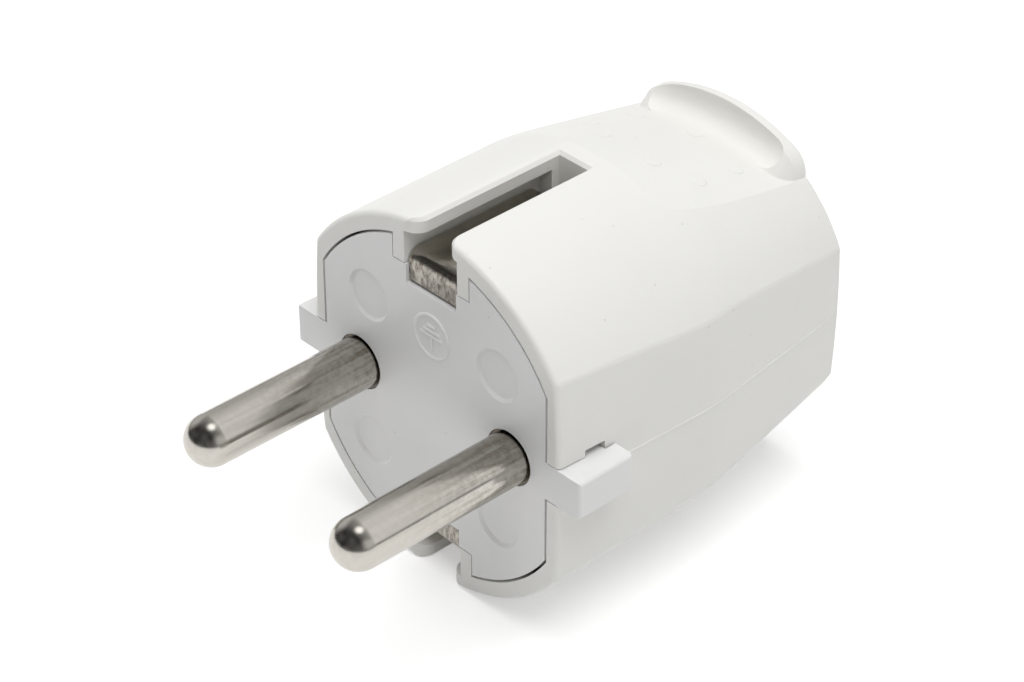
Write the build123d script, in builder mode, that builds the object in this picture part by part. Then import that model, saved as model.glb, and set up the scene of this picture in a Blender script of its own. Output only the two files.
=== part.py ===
"""Two-pin plug with side earth contacts, in millimetres.

The origin lies on the engagement face, midway between the pins. The pins point to -Y, the cable
leaves to +Y, the earth contacts lie at +Z and -Z, and the pins lie at -X and +X.
"""
import os
from math import cos, radians, sin

from build123d import *

# Contact pins
pin_spacing = 19.0
pin_radius = 2.4
pin_reach = 19.0
pin_neck_radius = 2.6
pin_neck_inset = 0.1
pin_head_radius = 2.9
pin_wire_hole_radius = 1.5
pin_wire_hole_depth = 6.0
pin_clearance = 0.05

# Housing body
body_length = 36.3
body_radius = 18.2
rear_taper = 2.9
taper_start = 18.9
taper_blend = 18.0
flank_depth = 2.65
flank_swell = 0.75
flank_widest_at = 17.6
flank_waist = 1.6
flank_blend = 22.0
flank_crown_radius = 110.0
crown_half_turn = 14
crease_round = 1.0
rim_round = 0.5
rear_round = 0.5
land_depth = 0.18

# Thumb faces and rear lip
thumb_start = 18.4
thumb_step = 0.28
thumb_flattening = 3.5
thumb_rear_arc = 44.0
thumb_fall = 5.1
lip_fall = 1.75
lip_radius = 18.4
lip_half_width = 9.3
lip_thickness = 1.1
lip_shoulder = 1.7
lip_ramp = 1.8
lip_ramp_drop = 1.7
lip_root_depth = 4.4
lip_corner = 2.6
lip_end_wall = 0.6
dish_corner = 2.4
dish_sweep = 1.8

# Housing cavity
rim_wall = 1.7
flank_wall = 1.42
carrier_clearance = 0.25
ledge_width = 0.95
top_wall = 2.9
thumb_wall = 1.8
rear_side_wall = 1.95
rear_wall = 2.4
cable_bore_radius = 5.0
cable_bore_chamfer = 0.5

# Earth slots in the housing
slot_half_width = 1.75
slot_end = 16.5
slot_flare = 1.4
slot_flare_radius = 1.6
slot_chamfer = 0.3
channel_end = 15.6
slot_wall = 1.6
tongue_gap = 0.16
tongue_width = 1.39
tongue_height = 3.21
channel_end_wall = 1.8
rib_bite = 0.6

# Contact carrier
face_thickness = 5.0
earth_opening_half_width = 3.13
earth_opening_drop = 1.91
tongue_play = 0.12
lug_half_height = 1.86
lug_stand = 2.09
lug_length = 6.15
lug_round = 0.35
lug_play = 0.12
lug_window_start = 2.9
lug_window_half_height = 2.6
lug_root = 0.8
mark_x = 8.1
mark_z = 7.7
mark_radius = 2.5
mark_depth = 0.25
mark_slope = 50
tower_inner_reach = 4.9
tower_gap = 0.23
tower_half_height = 5.4
tower_round = 1.2
tower_depth = 8.0
boss_half_height = 3.6

# Pin retainer
retainer_thickness = 1.5
retainer_half_height = 4.4
retainer_round = 2.0
retainer_wire_hole_radius = 1.8

# Earth bow
strip_half_width = 3.1
strip_thickness = 0.8
strip_front = 0.35
strip_recess = 2.0
strip_bend = 1.2
strip_tip_gap = 0.27

# Terminal screws in the pin heads
terminal_screw_radius = 1.25
terminal_screw_head_radius = 2.2
terminal_screw_head = 1.6
terminal_screw_lift = 0.3
terminal_screw_tip = 0.4
head_play = 0.2

# Screw slots
slot_width = 0.7
slot_depth = 0.7
head_chamfer = 0.3

# Retainer screw and earth terminal
fixing_screw_radius = 1.5
fixing_screw_head_radius = 2.8
fixing_screw_head = 1.8
fixing_screw_length = 9.0
earth_terminal_drop = 8.6
earth_screw_length = 4.0
washer_side = 6.0
washer_thickness = 1.0
washer_corner = 0.5
screw_fit = 0.05
screw_play = 0.15

# Cord clamp
cable_half_width = 5.2
clamp_start = 22.0
clamp_length = 7.0
clamp_floor = 5.2
clamp_seat = 2.6
clamp_post_gap = 1.0
saddle_thickness = 3.0
arm_width = 4.6
bar_thickness = 2.0
bar_rib_height = 1.2
bar_rib_length = 1.6
bar_rib_play = 0.3
bar_inset = 0.5
bar_corner = 1.0
clamp_screw_radius = 1.25
clamp_screw_head_radius = 2.3
clamp_screw_head = 1.7
clamp_screw_play = 0.15
nut_across_flats = 4.5
nut_thickness = 2.0
nut_play = 0.1

pin_x = pin_spacing / 2
rear_radius = body_radius - rear_taper
flank_front = body_radius - flank_depth
flank_widest = flank_front + flank_swell
flank_rear = flank_front - flank_waist
flank_rise = flank_swell / flank_widest_at
crown_axis = flank_crown_radius - flank_front
land_height = body_radius - land_depth
thumb_front_height = body_radius - thumb_step
thumb_front_arc = body_radius + thumb_flattening
thumb_rear_height = body_radius - thumb_fall
lip_height = body_radius - lip_fall
lip_root_height = thumb_rear_height - lip_root_depth
lip_front = body_length - lip_shoulder
dish_half_width = lip_half_width - lip_end_wall
dish_end = body_length - lip_thickness
dish_side_end = dish_end - dish_corner
pocket_radius = body_radius - rim_wall
pocket_half_width = flank_front - flank_wall
cavity_radius = pocket_radius - ledge_width
cavity_half_width = pocket_half_width - ledge_width
cavity_height = body_radius - top_wall
cavity_rear_radius = rear_radius - rim_wall
cavity_rear_half_width = flank_rear - rear_side_wall
cavity_rear_height = thumb_rear_height - thumb_wall
cavity_end = body_length - rear_wall
channel_roof = body_radius - slot_wall
tongue_inner = earth_opening_half_width + tongue_gap
tongue_outer = tongue_inner + tongue_width
tongue_tip = channel_roof - tongue_height
face_radius = pocket_radius - carrier_clearance
face_half_width = pocket_half_width - carrier_clearance
earth_opening_floor = tongue_tip - earth_opening_drop
lug_tail_x = flank_front + flank_rise * lug_length + lug_play
lug_outer = lug_tail_x + lug_stand
tower_inner = pin_x - tower_inner_reach
tower_outer = cavity_half_width - tower_gap
tower_end = face_thickness + tower_depth
terminal_screw_y = tower_end - pin_wire_hole_depth / 2
retainer_back = tower_end + retainer_thickness
strap_back = retainer_back + strip_thickness
strip_height = channel_roof - strip_recess
strip_tip = earth_opening_floor + strip_tip_gap
clamp_post_outer = cavity_rear_half_width - clamp_post_gap
clamp_post_x = (cable_half_width + clamp_post_outer) / 2
arm_half_gap = clamp_post_outer - arm_width
clamp_mid = clamp_start + clamp_length / 2
far = 3 * body_radius


def across(y):
    """Plane across the plug at distance y behind the face, with its own axes along X and Z."""
    return Plane.XZ.offset(-y)


def clipped_circle(radius, half_width, half_height):
    """A circle cut off flat at both sides, and at top and bottom."""
    Circle(radius)
    Rectangle(2 * half_width, 2 * half_height, mode=Mode.INTERSECT)


def slot_outline(widening):
    """Outline of an earth slot: straight sides, flared round at the mouth."""
    half = slot_half_width + widening
    mouth = tongue_inner + widening
    end = slot_end + widening
    with BuildSketch() as outline:
        with BuildLine():
            Polyline((-half, slot_flare), (-half, end), (half, end), (half, slot_flare))
            RadiusArc((half, slot_flare), (mouth, 0), -slot_flare_radius)
            Line((mouth, 0), (-mouth, 0))
            RadiusArc((-mouth, 0), (-half, slot_flare), -slot_flare_radius)
        make_face()
    return outline.sketch


# Rear lip: an arched block that ramps up from the body
with BuildPart() as lip_form:
    for place, drop in ((lip_front - lip_ramp, lip_ramp_drop), (lip_front, 0)):
        with BuildSketch(across(place)):
            with Locations((0, lip_height - lip_radius - drop)):
                Circle(lip_radius)
            with Locations((0, lip_root_height)):
                Rectangle(2 * lip_half_width, far, align=(Align.CENTER, Align.MIN), mode=Mode.INTERSECT)
            fillet(vertices().group_by(Axis.Y)[1], lip_corner)
    loft(ruled=True)
    extrude(faces().sort_by(Axis.Y)[-1], amount=body_length - lip_front)

# Thumb face: the space above it, flatter towards the rear
with BuildPart() as thumb_space:
    for place, height, arc in (
        (thumb_start, thumb_front_height, thumb_front_arc),
        (body_length, thumb_rear_height, thumb_rear_arc),
    ):
        with BuildSketch(across(place)):
            Rectangle(2 * body_radius, far, align=(Align.CENTER, Align.MIN))
            with Locations((0, height - arc)):
                Circle(arc, mode=Mode.SUBTRACT)
    loft(ruled=True)

# Dish in front of the lip: the same space, with round corners and a sweep up to the lip
with BuildPart() as dish_form:
    add(thumb_space.part)
    with BuildSketch(Plane.XY):
        with Locations((0, thumb_start)):
            Rectangle(2 * dish_half_width, dish_end - thumb_start, align=(Align.CENTER, Align.MIN))
        fillet(vertices().group_by(Axis.Y)[-1], dish_corner)
    extrude(amount=far, mode=Mode.INTERSECT)
    low_edges = edges().filter_by(lambda e: e.center().Z < body_radius)
    fillet(low_edges.filter_by(lambda e: e.center().Y > dish_side_end), dish_sweep)
    with BuildSketch(Plane.XY):
        with Locations((0, dish_side_end)):
            Rectangle(far, dish_corner, align=(Align.CENTER, Align.MIN))
    extrude(amount=far, mode=Mode.INTERSECT)

# Space inside the housing: a pocket for the carrier, then a cavity that follows the outside
with BuildPart() as cavity_form:
    with BuildSketch(across(0)):
        clipped_circle(pocket_radius, pocket_half_width, far)
    extrude(amount=-face_thickness)
    for near, rear in ((0, 1), (1, 2)):
        stations = (
            (face_thickness, cavity_radius, cavity_half_width, cavity_height),
            (thumb_start, cavity_radius, cavity_half_width, cavity_height),
            (cavity_end, cavity_rear_radius, cavity_rear_half_width, cavity_rear_height),
        )
        for place, radius, half_width, half_height in stations[near:rear + 1]:
            with BuildSketch(across(place)):
                clipped_circle(radius, half_width, half_height)
        loft(ruled=True)

# Earth slot: a flared mouth with chamfered edges, over a wider channel for the contact strip
with BuildPart() as slot_form:
    with BuildSketch(Plane.XY.offset(tongue_tip)):
        add(slot_outline(0))
    extrude(amount=body_radius)
    for height, widening in ((land_height - slot_chamfer, 0), (land_height + slot_chamfer, 2 * slot_chamfer)):
        with BuildSketch(Plane.XY.offset(height)):
            add(slot_outline(widening))
    loft(ruled=True)
    with BuildSketch(Plane.XY.offset(tongue_tip)):
        Rectangle(2 * tongue_inner, channel_end, align=(Align.CENTER, Align.MIN))
    extrude(amount=channel_roof - tongue_tip)

# Housing: one hollow moulding, round at top and bottom and flat at the flanks
with BuildPart() as housing:
    with BuildSketch(Plane.XY):
        with BuildLine():
            Polyline(
                (0, 0),
                (body_radius, 0),
                (body_radius, taper_start),
                (rear_radius, body_length),
                (0, body_length),
                close=True,
            )
        make_face()
        fillet(vertices().sort_by_distance((body_radius, taper_start))[0], taper_blend)
    revolve(axis=Axis.Y)

    # Crowned flanks, widest where the thumb faces begin
    for side in (1, -1):
        start = Vector(side * cos(radians(crown_half_turn)), 0, sin(radians(crown_half_turn)))
        crown_plane = Plane(
            origin=(-side * crown_axis, 0, 0), x_dir=start, z_dir=start.cross(Vector(0, 1, 0))
        )
        with BuildSketch(crown_plane):
            with BuildLine():
                Polyline(
                    (crown_axis + flank_front, 0),
                    (crown_axis + flank_widest, flank_widest_at),
                    (crown_axis + flank_rear, body_length),
                    (crown_axis + far, body_length),
                    (crown_axis + far, 0),
                    close=True,
                )
            make_face()
            fillet(
                vertices().sort_by_distance((crown_axis + flank_widest, flank_widest_at))[0],
                flank_blend,
            )
        revolve(
            axis=Axis((-side * crown_axis, 0, 0), (0, side, 0)),
            revolution_arc=2 * crown_half_turn,
            mode=Mode.SUBTRACT,
        )
    creases = edges().filter_by(lambda e: abs(e.tangent_at(0.5).Y) > 0.5)
    fillet(creases, crease_round)
    fillet(faces().sort_by(Axis.Y)[0].outer_wire().edges(), rim_round)

    # Flat lands along the earth slots, on which the plug lies still
    for side in (1, -1):
        with BuildSketch(Plane.XY.offset(side * land_height)):
            Rectangle(far, thumb_start, align=(Align.CENTER, Align.MIN))
        extrude(amount=side * far, mode=Mode.SUBTRACT)

    # Thumb faces and lips at top and bottom
    for form, mode in ((thumb_space, Mode.SUBTRACT), (lip_form, Mode.ADD), (dish_form, Mode.SUBTRACT)):
        add(form.part, mode=mode)
        mirror(form.part, about=Plane.XY, mode=mode)
    fillet(faces().sort_by(Axis.Y)[-1].outer_wire().edges(), rear_round)

    # Inside, with the tongues and the end wall of each earth slot left standing
    add(cavity_form.part, mode=Mode.SUBTRACT)
    for side in (1, -1):
        with BuildSketch(across(0)):
            with Locations((0, side * tongue_tip)):
                Rectangle(
                    2 * tongue_outer,
                    channel_roof - tongue_tip + rib_bite,
                    align=(Align.CENTER, Align.MIN if side > 0 else Align.MAX),
                )
        extrude(amount=-(channel_end + channel_end_wall))
    add(slot_form.part, mode=Mode.SUBTRACT)
    mirror(slot_form.part, about=Plane.XY, mode=Mode.SUBTRACT)

    # Side notches and windows for the carrier's lugs
    with BuildSketch(Plane.YZ):
        with Locations((0, 0)):
            Rectangle(
                face_thickness + lug_play,
                2 * (lug_half_height + lug_play),
                align=(Align.MIN, Align.CENTER),
            )
        with Locations((lug_window_start, 0)):
            Rectangle(
                face_thickness + lug_play - lug_window_start,
                2 * lug_window_half_height,
                align=(Align.MIN, Align.CENTER),
            )
    extrude(amount=far, both=True, mode=Mode.SUBTRACT)

    # Cable exit
    with Locations(Plane(origin=(0, body_length, 0), z_dir=(0, 1, 0))):
        Hole(cable_bore_radius, depth=rear_wall + 1)
    bore_edge = faces().sort_by(Axis.Y)[-1].inner_wires()[0].edges()
    chamfer(bore_edge, cable_bore_chamfer)

# Contact carrier: face plate, lugs, pin towers and cord saddle in one moulding
with BuildPart() as contact_carrier:
    with BuildSketch(across(0)):
        clipped_circle(face_radius, face_half_width, far)
        for side, edge in ((1, Align.MIN), (-1, Align.MAX)):
            with Locations((0, side * earth_opening_floor)):
                Rectangle(
                    2 * earth_opening_half_width, far, align=(Align.CENTER, edge), mode=Mode.SUBTRACT
                )
            with Locations((0, side * (tongue_tip - tongue_play))):
                Rectangle(
                    2 * (tongue_outer + tongue_play), far, align=(Align.CENTER, edge), mode=Mode.SUBTRACT
                )
    extrude(amount=-face_thickness)

    # Lugs: each passes through the housing wall and hooks over the flank behind it
    for side in (1, -1):
        with BuildSketch(Plane.XY):
            with BuildLine():
                Polyline(
                    (side * (face_half_width - lug_root), 0),
                    (side * lug_outer, 0),
                    (side * lug_outer, lug_length),
                    (side * lug_tail_x, lug_length),
                    (side * lug_tail_x, face_thickness),
                    (side * (face_half_width - lug_root), face_thickness),
                    close=True,
                )
            make_face()
        extrude(amount=lug_half_height, both=True)
        outer_face = faces().sort_by(Axis.X)[-1 if side > 0 else 0]
        fillet(outer_face.edges(), lug_round)

    # Pin towers and the boss between them
    with BuildSketch(across(face_thickness)):
        with Locations(((tower_inner + tower_outer) / 2, 0), (-(tower_inner + tower_outer) / 2, 0)):
            RectangleRounded(tower_outer - tower_inner, 2 * tower_half_height, tower_round)
        Rectangle(2 * tower_inner + 2 * tower_round, 2 * boss_half_height)
    extrude(amount=-tower_depth)

    # Arms under the towers carry the cord saddle
    with BuildSketch(Plane.XY.offset(-clamp_floor - saddle_thickness)):
        for side, edge in ((1, Align.MIN), (-1, Align.MAX)):
            with Locations((side * arm_half_gap, face_thickness)):
                Rectangle(
                    clamp_post_outer - arm_half_gap,
                    clamp_start + clamp_length - face_thickness,
                    align=(edge, Align.MIN),
                )
        with Locations((0, clamp_start)):
            Rectangle(2 * clamp_post_outer, clamp_length, align=(Align.CENTER, Align.MIN))
    extrude(amount=saddle_thickness)
    with BuildSketch(Plane.XY.offset(-clamp_floor)):
        with Locations((clamp_post_x, clamp_mid), (-clamp_post_x, clamp_mid)):
            Rectangle(clamp_post_outer - cable_half_width, clamp_length)
    extrude(amount=clamp_floor + clamp_seat)

    # Bores for the pins and their heads
    with Locations(*(across(0) * Pos(x, 0) for x in (pin_x, -pin_x))):
        Hole(pin_neck_radius + pin_clearance, depth=face_thickness + tower_depth)
    with Locations(*(across(tower_end).reverse() * Pos(x, 0) for x in (pin_x, -pin_x))):
        Hole(pin_head_radius + pin_clearance, depth=tower_depth)

    # Openings above the terminal screws
    with BuildSketch(Plane.XY):
        with Locations((pin_x, terminal_screw_y), (-pin_x, terminal_screw_y)):
            Circle(terminal_screw_head_radius + head_play)
    extrude(amount=tower_half_height, mode=Mode.SUBTRACT)

    # Hole for the retainer screw, holes and nut pockets for the cord clamp
    with Locations(across(tower_end).reverse()):
        Hole(fixing_screw_radius + screw_fit, depth=fixing_screw_length)
    with BuildSketch(Plane.XY.offset(-clamp_floor - saddle_thickness)):
        with Locations((clamp_post_x, clamp_mid), (-clamp_post_x, clamp_mid)):
            Circle(clamp_screw_radius + clamp_screw_play)
    extrude(amount=clamp_floor + saddle_thickness + clamp_seat, mode=Mode.SUBTRACT)
    with BuildSketch(Plane.XY.offset(-clamp_floor - saddle_thickness)):
        with Locations((clamp_post_x, clamp_mid), (-clamp_post_x, clamp_mid)):
            RegularPolygon(nut_across_flats / 2 + nut_play, 6, major_radius=False, rotation=30)
    extrude(amount=nut_thickness, mode=Mode.SUBTRACT)

    # Four round recesses in the face, with sloping walls
    with BuildSketch(across(0)):
        with GridLocations(2 * mark_x, 2 * mark_z, 2, 2):
            Circle(mark_radius)
    extrude(amount=-mark_depth, taper=mark_slope, mode=Mode.SUBTRACT)

# Contact pins: turned, with a round tip, a thicker neck and head, a wire hole and a screw hole
pins = {}
for name, x in (("left_pin", -pin_x), ("right_pin", pin_x)):
    with BuildPart() as pin:
        with BuildSketch(Plane(origin=(x, 0, 0))):
            with BuildLine():
                Polyline(
                    (0, -pin_reach),
                    (0, tower_end),
                    (pin_head_radius, tower_end),
                    (pin_head_radius, face_thickness),
                    (pin_neck_radius, face_thickness),
                    (pin_neck_radius, pin_neck_inset),
                    (pin_radius, pin_neck_inset),
                    (pin_radius, pin_radius - pin_reach),
                )
                RadiusArc((pin_radius, pin_radius - pin_reach), (0, -pin_reach), pin_radius)
            make_face()
        revolve(axis=Axis((x, 0, 0), (0, 1, 0)))
        with Locations(across(tower_end).reverse() * Pos(-x, 0)):
            Hole(pin_wire_hole_radius, depth=pin_wire_hole_depth)
        with BuildSketch(Plane.XY):
            with Locations((x, terminal_screw_y)):
                Circle(terminal_screw_radius + screw_fit)
        extrude(amount=pin_head_radius, mode=Mode.SUBTRACT)
    pins[name] = pin.part


def slotted_screw(plane, radius, length, head_radius, head_height):
    """Cheese-head screw: the plane lies under the head, its normal points out of the head."""
    with BuildPart() as screw:
        with BuildSketch(plane):
            Circle(head_radius)
        extrude(amount=head_height)
        chamfer(edges().filter_by(GeomType.CIRCLE).sort_by(Axis(plane.origin, plane.z_dir))[-1], head_chamfer)
        with BuildSketch(plane):
            Circle(radius)
        extrude(amount=-length)
        with BuildSketch(plane.offset(head_height)):
            Rectangle(2 * head_radius, slot_width)
        extrude(amount=-slot_depth, mode=Mode.SUBTRACT)
    return screw.part


# Terminal screws, screwed down into the pin heads
terminal_screws = {}
for name, x in (("left_terminal_screw", -pin_x), ("right_terminal_screw", pin_x)):
    terminal_screws[name] = slotted_screw(
        Plane(origin=(x, terminal_screw_y, pin_head_radius + terminal_screw_lift)),
        terminal_screw_radius,
        pin_head_radius + terminal_screw_lift - terminal_screw_tip,
        terminal_screw_head_radius,
        terminal_screw_head,
    )

# Pin retainer: plate behind the pin heads
with BuildPart() as pin_retainer:
    with BuildSketch(across(tower_end)):
        RectangleRounded(2 * tower_outer, 2 * retainer_half_height, retainer_round)
        with Locations((pin_x, 0), (-pin_x, 0)):
            Circle(retainer_wire_hole_radius, mode=Mode.SUBTRACT)
        Circle(fixing_screw_radius + screw_play, mode=Mode.SUBTRACT)
    extrude(amount=-retainer_thickness)

# Earth bow: one strip, bent round behind the retainer, with a contact face at each end
with BuildPart() as earth_bow:
    with BuildSketch(Plane.YZ):
        with Locations(((strip_front + strap_back) / 2, 0)):
            RectangleRounded(strap_back - strip_front, 2 * strip_height, strip_bend)
            RectangleRounded(
                strap_back - strip_front - 2 * strip_thickness,
                2 * (strip_height - strip_thickness),
                strip_bend - strip_thickness,
                mode=Mode.SUBTRACT,
            )
        with Locations((strip_front, 0)):
            Rectangle(2 * strip_thickness, 2 * strip_tip, mode=Mode.SUBTRACT)
    extrude(amount=strip_half_width, both=True)
    with BuildSketch(across(strap_back)):
        Circle(fixing_screw_radius + screw_play)
        with Locations((0, -earth_terminal_drop)):
            Circle(fixing_screw_radius + screw_fit)
    extrude(amount=strip_thickness, mode=Mode.SUBTRACT)

# Retainer screw: holds the earth bow and the retainer on the carrier
retainer_screw = slotted_screw(
    Plane(origin=(0, strap_back, 0), x_dir=(1, 0, 0), z_dir=(0, 1, 0)),
    fixing_screw_radius,
    fixing_screw_length,
    fixing_screw_head_radius,
    fixing_screw_head,
)

# Earth terminal: a square washer under a screw in the bow
with BuildPart() as earth_clamp_washer:
    with BuildSketch(across(strap_back)):
        with Locations((0, -earth_terminal_drop)):
            RectangleRounded(washer_side, washer_side, washer_corner)
            Circle(fixing_screw_radius + screw_play, mode=Mode.SUBTRACT)
    extrude(amount=-washer_thickness)

earth_terminal_screw = slotted_screw(
    Plane(
        origin=(0, strap_back + washer_thickness, -earth_terminal_drop), x_dir=(1, 0, 0), z_dir=(0, 1, 0)
    ),
    fixing_screw_radius,
    earth_screw_length + washer_thickness,
    fixing_screw_head_radius,
    fixing_screw_head,
)

# Cord clamp: a ribbed bar across the saddle's posts, two screws and two captive nuts
with BuildPart() as cord_clamp_bar:
    with BuildSketch(Plane.XY.offset(clamp_seat)):
        with Locations((0, clamp_mid)):
            RectangleRounded(2 * clamp_post_outer, clamp_length - 2 * bar_inset, bar_corner)
    extrude(amount=bar_thickness)
    with BuildSketch(Plane.XY.offset(clamp_seat)):
        with Locations((0, clamp_mid)):
            with GridLocations(0, clamp_length - 2 * bar_inset - bar_rib_length, 1, 2):
                Rectangle(2 * (cable_half_width - bar_rib_play), bar_rib_length)
    extrude(amount=-bar_rib_height)
    with BuildSketch(Plane.XY.offset(clamp_seat)):
        with Locations((clamp_post_x, clamp_mid), (-clamp_post_x, clamp_mid)):
            Circle(clamp_screw_radius + clamp_screw_play)
    extrude(amount=bar_thickness, mode=Mode.SUBTRACT)

clamp_parts = {}
for side, x in (("left", -clamp_post_x), ("right", clamp_post_x)):
    clamp_parts[f"{side}_clamp_screw"] = slotted_screw(
        Plane(origin=(x, clamp_mid, clamp_seat + bar_thickness)),
        clamp_screw_radius,
        bar_thickness + clamp_seat + clamp_floor + saddle_thickness,
        clamp_screw_head_radius,
        clamp_screw_head,
    )
    with BuildPart() as nut:
        with BuildSketch(Plane(origin=(x, clamp_mid, -clamp_floor - saddle_thickness))):
            RegularPolygon(nut_across_flats / 2, 6, major_radius=False, rotation=30)
            Circle(clamp_screw_radius + screw_fit, mode=Mode.SUBTRACT)
        extrude(amount=nut_thickness)
    clamp_parts[f"{side}_clamp_nut"] = nut.part

# One file for each piece
pieces = {
    "housing": housing.part,
    "contact_carrier": contact_carrier.part,
    **pins,
    **terminal_screws,
    "pin_retainer": pin_retainer.part,
    "retainer_screw": retainer_screw,
    "earth_bow": earth_bow.part,
    "earth_clamp_washer": earth_clamp_washer.part,
    "earth_terminal_screw": earth_terminal_screw,
    "cord_clamp_bar": cord_clamp_bar.part,
    **clamp_parts,
}
os.makedirs("parts", exist_ok=True)
for name, piece in pieces.items():
    piece.label = name
    export_step(piece, f"parts/{name}.step")
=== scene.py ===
"""Looks of a two-pin plug with side earth contacts: finishes, fine moulded details, lights and camera.

Lengths are in metres. The origin lies on the engagement face, midway between the pins, and +Z is up.
"""

import bmesh
import bpy
import numpy as np
from mathutils import Matrix, Vector


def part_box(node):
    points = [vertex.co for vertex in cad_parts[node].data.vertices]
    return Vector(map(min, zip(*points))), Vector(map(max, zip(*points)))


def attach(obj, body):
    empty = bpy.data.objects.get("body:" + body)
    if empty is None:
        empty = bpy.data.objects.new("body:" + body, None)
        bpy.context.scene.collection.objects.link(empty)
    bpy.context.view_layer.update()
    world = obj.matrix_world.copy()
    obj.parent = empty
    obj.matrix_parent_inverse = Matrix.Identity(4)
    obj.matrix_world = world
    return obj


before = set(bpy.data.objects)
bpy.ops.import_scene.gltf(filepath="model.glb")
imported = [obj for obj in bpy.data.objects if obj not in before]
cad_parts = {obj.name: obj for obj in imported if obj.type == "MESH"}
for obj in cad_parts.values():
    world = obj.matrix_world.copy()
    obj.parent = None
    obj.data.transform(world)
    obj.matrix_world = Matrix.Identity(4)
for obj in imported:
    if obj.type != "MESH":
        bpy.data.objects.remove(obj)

bl_info = {
    "name": "Two-Pin Plug",
    "version": (1, 0, 0),
    "blender": (4, 5, 0),
    "location": "3D View > Sidebar > Plug",
    "description": "Finishes, moulded details and studio for a two-pin plug",
    "category": "Object",
}

mm = 0.001

# Places on the plug: its face and lowest point, the rear ends of flank and lug, the pin tips, the bow's front
face_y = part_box("housing")[0].y
rest_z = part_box("housing")[0].z
flank_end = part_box("housing")[1].y
lug_tail = 6.15 * mm
pin_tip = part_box("left_pin")[0].y
strip_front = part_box("earth_bow")[0].y

# Earth sign: the height of its middle, its crossbars (height above the middle, half length) and its stem
sign_middle = 7.5 * mm
SIGN_BARS = ((0.05 * mm, 1.25 * mm), (0.55 * mm, 0.85 * mm), (1.05 * mm, 0.42 * mm))
stem_drop = 0.65 * mm
stem_half_length = 0.7 * mm

# Grip beads: x and y of each one on a thumb face, in millimetres
BEAD_PLACES = ((3.1, 23.0), (-3.1, 23.0), (6.6, 25.1), (-6.6, 25.1), (6.2, 30.2), (-6.2, 30.2), (0, 31.5))

# Mould lines: where they start and end along the flank, and the number of points on each
line_start = lug_tail + 0.4 * mm
line_end = flank_end - 0.9 * mm
line_points = 90

# Distance from the plug's axis at which a probe of its surface starts
outside = 30 * mm

# Stage: the floor's disc, the distances over which its glow grows, the camera's film width and clipping, the
# direction of the window overhead, and each lamp's name, power setting, diameter and place
floor_radius = 3.0
floor_sides = 96
glow_distances = (0.12, 1.0)
far_glow = 0.95
film_width = 36.0
clip_range = (0.01, 20.0)
window_direction = (0.06, 0.05, 0.99)
LAMPS = (
    ("overhead_light", "key_power", 0.45, (0.12, -0.03, 0.49)),
    ("side_light", "side_power", 0.50, (-0.46, -0.02, 0.38)),
)

# Range that holds most of a noise's values, and the full range of a share
most_of_noise = (0.3, 0.7)
none_to_all = (0.0, 1.0)


# Sizes and colours that a user may change

class PlugFinish(bpy.types.PropertyGroup):
    housing_colour: bpy.props.FloatVectorProperty(
        name="Housing", description="Colour of the housing's plastic", size=3, subtype="COLOR",
        min=0, max=1, default=(0.885, 0.88, 0.85),
    )
    carrier_colour: bpy.props.FloatVectorProperty(
        name="Contact carrier", description="Colour of the carrier's plastic", size=3, subtype="COLOR",
        min=0, max=1, default=(0.87, 0.87, 0.865),
    )
    inner_plastic_colour: bpy.props.FloatVectorProperty(
        name="Inner plastic", description="Colour of the retainer and the clamp bar", size=3, subtype="COLOR",
        min=0, max=1, default=(0.78, 0.77, 0.74),
    )
    speck_colour: bpy.props.FloatVectorProperty(
        name="Specks", description="Colour of the tiny dark specks in the plastic", size=3, subtype="COLOR",
        min=0, max=1, default=(0.42, 0.39, 0.33),
    )
    pin_colour: bpy.props.FloatVectorProperty(
        name="Pins", description="Colour of the pins' nickel plating", size=3, subtype="COLOR",
        min=0, max=1, default=(0.56, 0.535, 0.49),
    )
    tarnish_colour: bpy.props.FloatVectorProperty(
        name="Tarnish", description="Colour of the tarnish near the pin roots", size=3, subtype="COLOR",
        min=0, max=1, default=(0.22, 0.19, 0.145),
    )
    strip_colour: bpy.props.FloatVectorProperty(
        name="Earth bow", description="Colour of the bow's rubbed nickel", size=3, subtype="COLOR",
        min=0, max=1, default=(0.45, 0.42, 0.37),
    )
    scratch_colour: bpy.props.FloatVectorProperty(
        name="Scratches", description="Colour of the scratches on the bow's front", size=3, subtype="COLOR",
        min=0, max=1, default=(0.12, 0.10, 0.085),
    )
    screw_colour: bpy.props.FloatVectorProperty(
        name="Screws", description="Colour of the zinc on screws, nuts and washer", size=3, subtype="COLOR",
        min=0, max=1, default=(0.64, 0.65, 0.67),
    )


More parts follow.
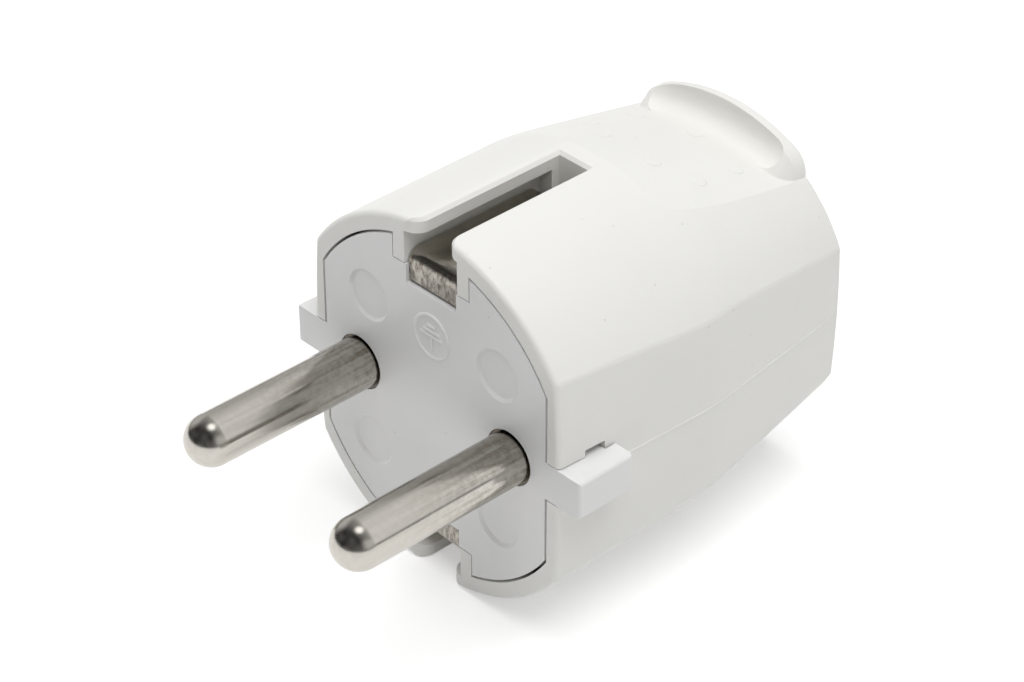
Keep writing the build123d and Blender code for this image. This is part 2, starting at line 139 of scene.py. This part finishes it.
class PlugDetails(bpy.types.PropertyGroup):
    bead_radius: bpy.props.FloatProperty(
        name="Bead radius", description="Radius of a grip bead on the thumb faces",
        default=0.75 * mm, min=0.2 * mm, max=1.5 * mm, unit="LENGTH",
    )
    bead_height: bpy.props.FloatProperty(
        name="Bead height", description="Height of a grip bead above the thumb face",
        default=0.07 * mm, min=0.01 * mm, max=0.5 * mm, unit="LENGTH",
    )
    mould_line_width: bpy.props.FloatProperty(
        name="Mould line width", description="Width of the mould line along each flank",
        default=0.26 * mm, min=0.05 * mm, max=1.0 * mm, unit="LENGTH",
    )
    mould_line_height: bpy.props.FloatProperty(
        name="Mould line height", description="Height of the mould line above the flank",
        default=0.07 * mm, min=0.01 * mm, max=0.3 * mm, unit="LENGTH",
    )
    sign_radius: bpy.props.FloatProperty(
        name="Earth sign radius", description="Radius of the ring round the earth sign",
        default=2.1 * mm, min=1.0 * mm, max=4.0 * mm, unit="LENGTH",
    )
    sign_line_width: bpy.props.FloatProperty(
        name="Earth sign line", description="Width of the raised lines of the earth sign",
        default=0.34 * mm, min=0.1 * mm, max=0.6 * mm, unit="LENGTH",
    )
    sign_height: bpy.props.FloatProperty(
        name="Earth sign height", description="Height of the earth sign's lines above the face",
        default=0.14 * mm, min=0.02 * mm, max=0.4 * mm, unit="LENGTH",
    )


class PlugStage(bpy.types.PropertyGroup):
    camera_azimuth: bpy.props.FloatProperty(
        name="Camera azimuth", description="Direction of the camera round the plug", default=0.818402,
        subtype="ANGLE",
    )
    camera_elevation: bpy.props.FloatProperty(
        name="Camera elevation", description="Height of the camera above the horizon", default=0.611329,
        subtype="ANGLE",
    )
    camera_distance: bpy.props.FloatProperty(
        name="Camera distance", description="Distance from the aim to the camera", default=0.2622513,
        unit="LENGTH",
    )
    camera_aim: bpy.props.FloatVectorProperty(
        name="Camera aim", description="Point that the camera looks at", size=3, subtype="TRANSLATION",
        default=(0.0022051, 0.0072067, 0.0047271),
    )
    camera_lens: bpy.props.FloatProperty(
        name="Camera lens", description="Focal length in millimetres", default=107.73, min=20, max=300,
    )
    key_power: bpy.props.FloatProperty(
        name="Key light", description="Power of the large light overhead", default=1.75, min=0, unit="POWER",
    )
    side_power: bpy.props.FloatProperty(
        name="Side light", description="Power of the weaker light at the upper left", default=0.75, min=0,
        unit="POWER",
    )
    sky_level: bpy.props.FloatProperty(
        name="Sky level", description="Brightness of the even light from all round", default=0.40,
        min=0, max=2,
    )
    floor_glow: bpy.props.FloatProperty(
        name="Floor glow", description="Brightness that the floor shows of its own", default=0.40,
        min=0, max=1,
    )
    floor_colour: bpy.props.FloatVectorProperty(
        name="Floor", description="Colour of the floor", size=3, subtype="COLOR", min=0, max=1,
        default=(0.82, 0.82, 0.82),
    )


# Node helpers

def put(target, value):
    """Feeds a node's input from another socket, or sets it to a number, vector or colour."""
    if isinstance(value, bpy.types.NodeSocket):
        target.id_data.links.new(value, target)
    else:
        target.default_value = value


def node_maker(tree):
    """A function that adds a node to a tree, sets its settings and fills its inputs. An input is given by its
    name, or by i and its number where inputs share a name."""
    def node(kind, settings=None, **inputs):
        made = tree.nodes.new(kind)
        for key, value in (settings or {}).items():
            setattr(made, key, value)
        for key, value in inputs.items():
            numbered = key[0] == "i" and key[1:].isdigit()
            put(made.inputs[int(key[1:]) if numbered else key], value)
        return made

    return node


def new_material(name):
    """A node material, a function that adds nodes to it and one that feeds its shader."""
    material = bpy.data.materials.new(name)
    material.use_nodes = True
    shader = material.node_tree.nodes["Principled BSDF"]

    def feed(socket_name, value):
        put(shader.inputs[socket_name], value)

    return material, node_maker(material.node_tree), feed


def blended(node, factor, first, second):
    """Colour mix of two colours or sockets by a factor socket."""
    mix = node("ShaderNodeMix", {"data_type": "RGBA"}, Factor=factor)
    for key, value in (("A", first), ("B", second)):
        socket = next(s for s in mix.inputs if s.name == key and s.type == "RGBA")
        put(socket, value if isinstance(value, bpy.types.NodeSocket) else (*value, 1))
    return next(s for s in mix.outputs if s.type == "RGBA")


def mixed_value(node, factor, first, second):
    """Mix of two numbers or sockets by a factor socket."""
    return node("ShaderNodeMix", {"data_type": "FLOAT"}, Factor=factor, A=first, B=second).outputs["Result"]


def larger(node, first, *others):
    """The largest of several sockets."""
    for other in others:
        first = node("ShaderNodeMath", {"operation": "MAXIMUM"}, i0=first, i1=other).outputs[0]
    return first


def product(node, first, second):
    """Product of two sockets."""
    return node("ShaderNodeMath", {"operation": "MULTIPLY"}, i0=first, i1=second).outputs[0]


def ranged(node, value, source, target):
    """Linear map of a value from its source range to a target range, held at both ends."""
    ends = dict(zip(("From Min", "From Max", "To Min", "To Max"), (*source, *target)))
    return node("ShaderNodeMapRange", Value=value, **ends).outputs["Result"]


def noise(node, place, scale, detail, roughness=0.5):
    """Noise at a place, with its scale in waves per unit of the place."""
    made = node("ShaderNodeTexNoise", Vector=place, Scale=scale, Detail=detail, Roughness=roughness)
    return made.outputs["Fac"]


def stretched(node, place, scale, rotation=(0, 0, 0)):
    """A place scaled along each axis and then turned, so that noise at it runs one way."""
    return node("ShaderNodeMapping", Vector=place, Scale=scale, Rotation=rotation).outputs["Vector"]


def bump(node, height, depth, strength, under=None):
    """The surface's direction under a bump, which lies on another bump where one is given."""
    below = {} if under is None else {"Normal": under}
    return node("ShaderNodeBump", Height=height, Distance=depth, Strength=strength, **below).outputs["Normal"]


# Finishes

def paint(name, material):
    """Gives a node of the frame its material."""
    for material_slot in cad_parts[name].material_slots:
        material_slot.material = material


def moulded_plastic(name, colour, speck, shade, roughness, speck_scale):
    """Satin moulded plastic: cloudy colour, a fine grain, a soft orange-peel wave and tiny specks."""
    material, node, feed = new_material(name)
    place = node("ShaderNodeTexCoord").outputs["Object"]
    cloud = noise(node, place, scale=90.0, detail=3.0)
    base = blended(node, cloud, colour, tuple(c * s for c, s in zip(colour, shade)))
    cells = node("ShaderNodeTexVoronoi", Vector=place, Scale=speck_scale)
    specks = ranged(node, cells.outputs["Distance"], (0.02, 0.055), (0.35, 0.0))
    feed("Base Color", blended(node, specks, base, speck))
    patches = noise(node, place, scale=700.0, detail=3.0)
    feed("Roughness", ranged(node, patches, most_of_noise, (roughness - 0.05, roughness + 0.07)))
    orange_peel = bump(node, noise(node, place, scale=260.0, detail=2.0), depth=0.03 * mm, strength=0.6)
    grain = noise(node, place, scale=5200.0, detail=2.0)
    feed("Normal", bump(node, grain, depth=0.006 * mm, strength=0.6, under=orange_peel))
    feed("IOR", 1.5)
    return material


def plated_metal(name, colour, stain, roughness, stain_share):
    """Plated metal: a fine mottle in its shine and relief, and cloudy stains."""
    material, node, feed = new_material(name)
    place = node("ShaderNodeTexCoord").outputs["Object"]
    mottle = noise(node, place, scale=1800.0, detail=4.0, roughness=0.6)
    clouds = noise(node, place, scale=480.0, detail=5.0, roughness=0.65)
    stained = ranged(node, clouds, (0.5, 0.72), (0.0, stain_share))
    feed("Base Color", blended(node, stained, colour, stain))
    feed("Roughness", ranged(node, mottle, most_of_noise, (roughness * 0.7, roughness * 1.35)))
    feed("Normal", bump(node, mottle, depth=0.012 * mm, strength=0.5))
    feed("Metallic", 1.0)
    return material


def drawn_nickel(name, colour, tarnish, root_painted_shade):
    """Nickel of the pins: drawn streaks, more tarnish towards the root, a thin ring of painted shade at the
    root where the pin meets the face, a smooth tip and slow waves.
    """
    material, node, feed = new_material(name)
    place = node("ShaderNodeTexCoord").outputs["Object"]
    along = node("ShaderNodeSeparateXYZ", Vector=place).outputs["Y"]
    drawn = stretched(node, place, (1500.0, 55.0, 1500.0))
    streaks = noise(node, drawn, scale=1.0, detail=5.0, roughness=0.65)
    fine = noise(node, place, scale=1900.0, detail=3.0, roughness=0.6)
    mixed = node("ShaderNodeMath", {"operation": "MULTIPLY_ADD"}, i0=fine, i1=0.45, i2=streaks).outputs[0]
    stains = ranged(node, mixed, (0.62, 0.86), none_to_all)
    cover = ranged(node, along, (pin_tip + 6 * mm, face_y), (0.12, 0.85))
    plated = blended(node, product(node, stains, cover), colour, tarnish)
    # Painted shade: the last 0.08 mm of the pin at the face is darkened to near black, in place of the shade
    # in the gap round the pin
    root = ranged(node, along, (face_y - 0.08 * mm, face_y), none_to_all)
    feed("Base Color", blended(node, root, plated, root_painted_shade))
    shaft = ranged(node, along, (pin_tip + 2.2 * mm, pin_tip + 2.6 * mm), none_to_all)
    tip_roughness = 0.21
    shaft_roughness = ranged(node, streaks, most_of_noise, (0.11, 0.24))
    feed("Roughness", mixed_value(node, shaft, tip_roughness, shaft_roughness))
    slow = stretched(node, place, (420.0, 95.0, 420.0))
    waves = bump(node, noise(node, slow, scale=1.0, detail=1.5), depth=0.03 * mm, strength=0.7)
    feed("Normal", bump(node, streaks, depth=0.008 * mm, strength=0.6, under=waves))
    feed("Metallic", 1.0)
    return material


def rubbed_strip(name, colour, scratch):
    """Nickel strip of the bow: smooth on top, with dark crossing scratches on the front that is rubbed."""
    material, node, feed = new_material(name)
    place = node("ShaderNodeTexCoord").outputs["Object"]
    along = node("ShaderNodeSeparateXYZ", Vector=place).outputs["Y"]
    front = ranged(node, along, (strip_front + 0.10 * mm, strip_front + 0.45 * mm), (1.0, 0.0))
    crossing = stretched(node, place, (2600.0, 900.0, 1300.0), rotation=(0, 0.6, 0))
    rubbed = noise(node, crossing, scale=1.0, detail=5.0, roughness=0.7)
    cut = product(node, ranged(node, rubbed, (0.44, 0.60), (0.0, 0.85)), front)
    cloud = noise(node, place, scale=420.0, detail=4.0, roughness=0.6)
    clouded = ranged(node, cloud, (0.45, 0.7), (0.0, 0.45))
    base = blended(node, clouded, colour, tuple(0.6 * c for c in colour))
    feed("Base Color", blended(node, cut, base, scratch))
    feed("Roughness", ranged(node, front, none_to_all, (0.17, 0.30)))
    dents = bump(node, noise(node, place, scale=1500.0, detail=3.0), depth=0.02 * mm, strength=0.6)
    feed("Normal", bump(node, cut, depth=0.02 * mm, strength=0.5, under=dents))
    feed("Metallic", 1.0)
    return material


# Surfaces on grids of points

def surface_piece(name, grids, slot):
    """One object from grids of points (rows, columns, 3), each joined to itself along its columns, and along
    its rows where its first and last rows are meant to meet. It has the slot and material of a frame node."""
    mesh = bpy.data.meshes.new(name)
    points, quads, start = [], [], 0
    for grid, rows_join in grids:
        rows, columns = grid.shape[:2]
        index = start + np.arange(rows * columns).reshape(rows, columns)
        index = np.concatenate((index, index[:, :1]), axis=1)
        if rows_join:
            index = np.concatenate((index, index[:1]), axis=0)
        corners = (index[:-1, :-1], index[:-1, 1:], index[1:, 1:], index[1:, :-1])
        quads.append(np.stack(corners, -1).reshape(-1, 4))
        points.append(grid.reshape(-1, 3))
        start += rows * columns
    mesh.from_pydata(np.concatenate(points).tolist(), [], np.concatenate(quads).tolist())
    work = bmesh.new()
    work.from_mesh(mesh)
    bmesh.ops.remove_doubles(work, verts=work.verts, dist=1e-8)
    bmesh.ops.recalc_face_normals(work, faces=work.faces)
    work.to_mesh(mesh)
    work.free()
    mesh.polygons.foreach_set("use_smooth", np.ones(len(mesh.polygons), bool))
    mesh.materials.append(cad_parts[slot].material_slots[0].material)
    piece = bpy.data.objects.new(name, mesh)
    bpy.context.scene.collection.objects.link(piece)
    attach(piece, "root")
    return piece


def ring(centre, along, across, out, radius, half_width, height, turns=96, sides=14):
    """Ring bead: a half-ellipse profile carried round a circle. A point is the centre, plus radius and
    half_width times cos(v) along the circle's spoke, plus height times sin(v) outwards."""
    u = np.linspace(0, 2 * np.pi, turns, endpoint=False)[:, None, None]
    v = np.linspace(0, 2 * np.pi, sides, endpoint=False)[None, :, None]
    spoke = np.cos(u) * along + np.sin(u) * across
    return centre + (radius + half_width * np.cos(v)) * spoke + height * np.sin(v) * out, True


def bar(centre, along, across, out, half_length, half_width, height, turns=32, rings=13):
    """Rounded bar or bead: a flat ellipsoid drawn out along a straight line. A point is the centre, plus the
    line's end on its side, plus half_width times cos(v) round the end, plus height times sin(v) outwards."""
    v = np.linspace(-np.pi / 2, np.pi / 2, rings)[:, None, None]
    front = np.linspace(-np.pi / 2, np.pi / 2, turns // 2)
    u = np.concatenate((front, front + np.pi))[None, :, None]
    end = np.repeat((half_length, -half_length), turns // 2)[None, :, None]
    return (
        centre
        + (end + half_width * np.cos(v) * np.cos(u)) * along
        + half_width * np.cos(v) * np.sin(u) * across
        + height * np.sin(v) * out
    ), False


def ridge(path, out, side, half_width, height, sides=12):
    """Ridge: an ellipse carried along a path. It is half_width along side and height along out, and both
    shrink to nothing at the path's ends as the root of one minus the distance from the middle to the 24th."""
    s = np.linspace(-1, 1, len(path))
    taper = np.sqrt(np.clip(1 - s**24, 0, 1))[:, None, None]
    v = np.linspace(0, 2 * np.pi, sides, endpoint=False)[None, :, None]
    return (
        path[:, None] + taper * (half_width * np.cos(v) * side[:, None] + height * np.sin(v) * out[:, None])
    ), False


def surface_point(name, start, direction):
    """Where a line from start meets a node of the frame, and the surface's direction there."""
    hit, place, normal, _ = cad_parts[name].ray_cast(Vector(start), Vector(direction))
    if not hit:
        raise RuntimeError(f"{name} isn't met from {tuple(start)}")
    return np.array(place), np.array(normal)


# Parts of the stage

def add_camera(scene, stage):
    """Camera at its azimuth and elevation from the aim."""
    azimuth, elevation = stage.camera_azimuth, stage.camera_elevation
    back = Vector((
        np.sin(azimuth) * np.cos(elevation), -np.cos(azimuth) * np.cos(elevation), np.sin(elevation)
    ))
    right = Vector((np.cos(azimuth), np.sin(azimuth), 0))
    up = back.cross(right)
    lens = bpy.data.cameras.new("camera")
    lens.lens = stage.camera_lens
    lens.sensor_width = film_width
    lens.clip_start, lens.clip_end = clip_range
    camera = bpy.data.objects.new("camera", lens)
    scene.collection.objects.link(camera)
    camera.matrix_world = Matrix.Translation(
        Vector(stage.camera_aim) + back * stage.camera_distance
    ) @ Matrix((right, up, back)).transposed().to_4x4()
    scene.camera = camera


def add_floor(scene, stage):
    """Floor disc that glows only where it is seen, so that it is white and still takes the shadow."""
    turn = np.linspace(0, 2 * np.pi, floor_sides, endpoint=False)
    rim = np.stack((floor_radius * np.cos(turn), floor_radius * np.sin(turn), np.full_like(turn, rest_z)), -1)
    mesh = bpy.data.meshes.new("floor")
    mesh.from_pydata(rim.tolist(), [], [list(range(floor_sides))])
    floor = bpy.data.objects.new("floor", mesh)
    scene.collection.objects.link(floor)
    material, node, feed = new_material("floor_paper")
    feed("Base Color", (*stage.floor_colour, 1))
    feed("Roughness", 0.9)
    feed("Specular IOR Level", 0.0)
    feed("Emission Color", (1, 1, 1, 1))
    rays = node("ShaderNodeLightPath").outputs
    seen = larger(node, rays["Is Camera Ray"], rays["Is Glossy Ray"], rays["Is Transmission Ray"])
    place = node("ShaderNodeTexCoord").outputs["Object"]
    away = node("ShaderNodeVectorMath", {"operation": "LENGTH"}, i0=place).outputs["Value"]
    glow = ranged(node, away, glow_distances, (stage.floor_glow, far_glow))
    feed("Emission Strength", product(node, seen, glow))
    mesh.materials.append(material)


def add_world(scene, stage):
    """World that is white where it is seen. Metal mirrors a room that is dark on the pins' side, light behind
    the plug, brightest in a window overhead, and dark just above the horizon. The rest is soft grey light."""
    world = bpy.data.worlds.new("studio")
    world.use_nodes = True
    scene.world = world
    node = node_maker(world.node_tree)
    direction = node("ShaderNodeTexCoord").outputs["Generated"]
    parts = node("ShaderNodeSeparateXYZ", Vector=direction).outputs
    x, y, z = parts["X"], parts["Y"], parts["Z"]
    behind = ranged(node, y, (0.24, 0.42), none_to_all)
    behind = product(node, behind, ranged(node, x, (-0.75, -0.10), (0.60, 1.0)))
    middle = ranged(node, y, (-0.50, 0.24), (0.0, 0.36))
    across = node("ShaderNodeMath", {"operation": "ABSOLUTE"}, i0=x).outputs[0]
    sides = ranged(node, across, (0.55, 0.85), (0.0, 0.70))
    sides = product(node, sides, ranged(node, y, (-0.50, -0.10), none_to_all))
    above = ranged(node, z, (0.03, 0.18), (0.16, 1.0))
    room = product(node, larger(node, behind, middle, sides), above)
    off_window = node("ShaderNodeVectorMath", {"operation": "DISTANCE"}, i0=direction, i1=window_direction)
    window = ranged(node, off_window.outputs["Value"], (0.16, 0.34), (2.1, 0.0))
    dark = ranged(node, noise(node, direction, scale=1.8, detail=2.0), (0.35, 0.65), (0.01, 0.13))
    mirrored = larger(node, room, window, dark)
    soft = ranged(node, y, (-1.0, 0.4), (0.48 * stage.sky_level, 1.06 * stage.sky_level))
    rays = node("ShaderNodeLightPath").outputs
    level = mixed_value(node, rays["Is Glossy Ray"], soft, mirrored)
    seen = larger(node, rays["Is Camera Ray"], rays["Is Transmission Ray"])
    background = world.node_tree.nodes["Background"]
    put(background.inputs["Color"], (1, 1, 1, 1))
    put(background.inputs["Strength"], mixed_value(node, seen, level, 1.0))


def add_lamps(scene, stage):
    """Large soft light overhead, a little to the right, and a weaker one at the upper left."""
    for name, power, diameter, place in LAMPS:
        lamp_data = bpy.data.lights.new(name, "AREA")
        lamp_data.shape = "DISK"
        lamp_data.size = diameter
        lamp_data.energy = getattr(stage, power)
        lamp = bpy.data.objects.new(name, lamp_data)
        lamp.visible_glossy = False
        scene.collection.objects.link(lamp)
        aim = Vector(place).to_track_quat("Z", "Y").to_matrix().to_4x4()
        lamp.matrix_world = Matrix.Translation(place) @ aim


# One operator for each finish, each group of details, and the stage

class PlugOperator(bpy.types.Operator):
    """What the plug's operators share"""
    bl_options = {"INTERNAL"}


class PLUG_OT_housing_finish(PlugOperator):
    """Gives the housing its warm white satin plastic"""
    bl_idname = "plug.housing_finish"
    bl_label = "Housing finish"

    def execute(self, context):
        finish = context.scene.plug_finish
        paint("housing", moulded_plastic(
            "housing_plastic", finish.housing_colour, finish.speck_colour,
            shade=(0.975, 0.972, 0.96), roughness=0.40, speck_scale=420.0,
        ))
        return {"FINISHED"}


class PLUG_OT_carrier_finish(PlugOperator):
    """Gives the contact carrier its cooler white plastic, and the inner plastic pieces theirs"""
    bl_idname = "plug.carrier_finish"
    bl_label = "Carrier finish"

    def execute(self, context):
        finish = context.scene.plug_finish
        paint("contact_carrier", moulded_plastic(
            "carrier_plastic", finish.carrier_colour, finish.speck_colour,
            shade=(0.97, 0.97, 0.97), roughness=0.36, speck_scale=300.0,
        ))
        inner = moulded_plastic(
            "inner_plastic", finish.inner_plastic_colour, finish.speck_colour,
            shade=(0.95, 0.95, 0.93), roughness=0.60, speck_scale=260.0,
        )
        paint("pin_retainer", inner)
        paint("cord_clamp_bar", inner)
        return {"FINISHED"}


class PLUG_OT_pin_finish(PlugOperator):
    """Gives the pins their drawn and lightly tarnished nickel, with painted shade at their roots"""
    bl_idname = "plug.pin_finish"
    bl_label = "Pin finish"

    def execute(self, context):
        finish = context.scene.plug_finish
        # The root colour is painted shade: a near-black ring where each pin meets the face
        material = drawn_nickel(
            "pin_nickel", finish.pin_colour, finish.tarnish_colour, root_painted_shade=(0.09, 0.078, 0.062)
        )
        paint("left_pin", material)
        paint("right_pin", material)
        return {"FINISHED"}


class PLUG_OT_earth_finish(PlugOperator):
    """Gives the earth bow its rubbed and scratched nickel"""
    bl_idname = "plug.earth_finish"
    bl_label = "Earth bow finish"

    def execute(self, context):
        finish = context.scene.plug_finish
        paint("earth_bow", rubbed_strip("strip_nickel", finish.strip_colour, finish.scratch_colour))
        return {"FINISHED"}


class PLUG_OT_screw_finish(PlugOperator):
    """Gives the screws, nuts and washer their zinc"""
    bl_idname = "plug.screw_finish"
    bl_label = "Screw finish"

    def execute(self, context):
        finish = context.scene.plug_finish
        zinc = plated_metal(
            "zinc", finish.screw_colour, stain=(0.50, 0.50, 0.50), roughness=0.30, stain_share=0.4
        )
        for name in (
            "left_terminal_screw", "right_terminal_screw", "retainer_screw", "earth_clamp_washer",
            "earth_terminal_screw", "left_clamp_screw", "right_clamp_screw", "left_clamp_nut",
            "right_clamp_nut",
        ):
            paint(name, zinc)
        return {"FINISHED"}


class PLUG_OT_earth_sign(PlugOperator):
    """Adds the raised earth sign under the upper earth contact"""
    bl_idname = "plug.earth_sign"
    bl_label = "Earth sign"

    def execute(self, context):
        sizes = context.scene.plug_details
        along = np.array((1.0, 0, 0))
        up = np.array((0, 0, 1.0))
        out = np.array((0, -1.0, 0))
        centre = np.array((0, face_y, sign_middle))
        half = sizes.sign_line_width / 2
        grids = [ring(centre, along, up, out, sizes.sign_radius, half, sizes.sign_height)]
        for height, half_length in SIGN_BARS:
            grids.append(bar(centre + up * height, along, up, out, half_length, half, sizes.sign_height))
        grids.append(bar(centre - up * stem_drop, up, along, out, stem_half_length, half, sizes.sign_height))
        surface_piece("earth_sign", grids, "contact_carrier")
        return {"FINISHED"}


class PLUG_OT_grip_beads(PlugOperator):
    """Adds the faint round beads on both thumb faces"""
    bl_idname = "plug.grip_beads"
    bl_label = "Grip beads"

    def execute(self, context):
        sizes = context.scene.plug_details
        grids = []
        for side in (1, -1):
            for x, y in BEAD_PLACES:
                centre, out = surface_point("housing", (x * mm, y * mm, side * outside), (0, 0, -side))
                along = np.cross(out, (0, 1.0, 0))
                along /= np.linalg.norm(along)
                grids.append(bar(
                    centre, along, np.cross(out, along), out, 0.0, sizes.bead_radius, sizes.bead_height
                ))
        surface_piece("grip_beads", grids, "housing")
        return {"FINISHED"}


class PLUG_OT_mould_lines(PlugOperator):
    """Adds the mould line along the middle of each flank"""
    bl_idname = "plug.mould_lines"
    bl_label = "Mould lines"

    def execute(self, context):
        sizes = context.scene.plug_details
        grids = []
        for side in (1, -1):
            path = np.array([
                surface_point("housing", (side * outside, y, 0), (-side, 0, 0))[0]
                for y in np.linspace(line_start, line_end, line_points)
            ])
            out = np.tile((float(side), 0, 0), (line_points, 1))
            up = np.tile((0, 0, 1.0), (line_points, 1))
            grids.append(ridge(path, out, up, sizes.mould_line_width / 2, sizes.mould_line_height))
        surface_piece("mould_lines", grids, "housing")
        return {"FINISHED"}


class PLUG_OT_stage(PlugOperator):
    """Adds the camera, the floor, the world and the lights"""
    bl_idname = "plug.stage"
    bl_label = "Stage"

    def execute(self, context):
        scene = context.scene
        scene.view_settings.view_transform = "Standard"
        for add in (add_camera, add_floor, add_world, add_lamps):
            add(scene, scene.plug_stage)
        return {"FINISHED"}


class PLUG_PT_panel(bpy.types.Panel):
    """Lists the plug's finishes, details and stage"""
    bl_idname = "PLUG_PT_panel"
    bl_label = "Two-pin plug"
    bl_space_type = "VIEW_3D"
    bl_region_type = "UI"
    bl_category = "Plug"

    def draw(self, context):
        layout = self.layout
        for title, group, operators in PANEL_ROWS:
            box = layout.box()
            box.label(text=title)
            settings = getattr(context.scene, group)
            for name in settings.__annotations__:
                box.prop(settings, name)
            for operator in operators:
                box.operator(operator.bl_idname)


FINISHES = (
    PLUG_OT_housing_finish, PLUG_OT_carrier_finish, PLUG_OT_pin_finish, PLUG_OT_earth_finish,
    PLUG_OT_screw_finish,
)
DETAILS = (PLUG_OT_earth_sign, PLUG_OT_grip_beads, PLUG_OT_mould_lines)
PANEL_ROWS = (
    ("Finishes", "plug_finish", FINISHES),
    ("Moulded details", "plug_details", DETAILS),
    ("Stage", "plug_stage", (PLUG_OT_stage,)),
)
GROUPS = (("plug_finish", PlugFinish), ("plug_details", PlugDetails), ("plug_stage", PlugStage))


def register():
    for name, group in GROUPS:
        bpy.utils.register_class(group)
        setattr(bpy.types.Scene, name, bpy.props.PointerProperty(type=group))
    for _, _, operators in PANEL_ROWS:
        for operator in operators:
            bpy.utils.register_class(operator)
    bpy.utils.register_class(PLUG_PT_panel)


def unregister():
    bpy.utils.unregister_class(PLUG_PT_panel)
    for _, _, operators in reversed(PANEL_ROWS):
        for operator in reversed(operators):
            bpy.utils.unregister_class(operator)
    for name, group in reversed(GROUPS):
        delattr(bpy.types.Scene, name)
        bpy.utils.unregister_class(group)


def main():
    """Makes the finishes, the details and the stage."""
    register()
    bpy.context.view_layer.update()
    bpy.ops.plug.housing_finish()
    bpy.ops.plug.carrier_finish()
    bpy.ops.plug.pin_finish()
    bpy.ops.plug.earth_finish()
    bpy.ops.plug.screw_finish()
    bpy.ops.plug.earth_sign()
    bpy.ops.plug.grip_beads()
    bpy.ops.plug.mould_lines()
    bpy.ops.plug.stage()
    bpy.context.view_layer.update()


if __name__ == "__main__":
    main()
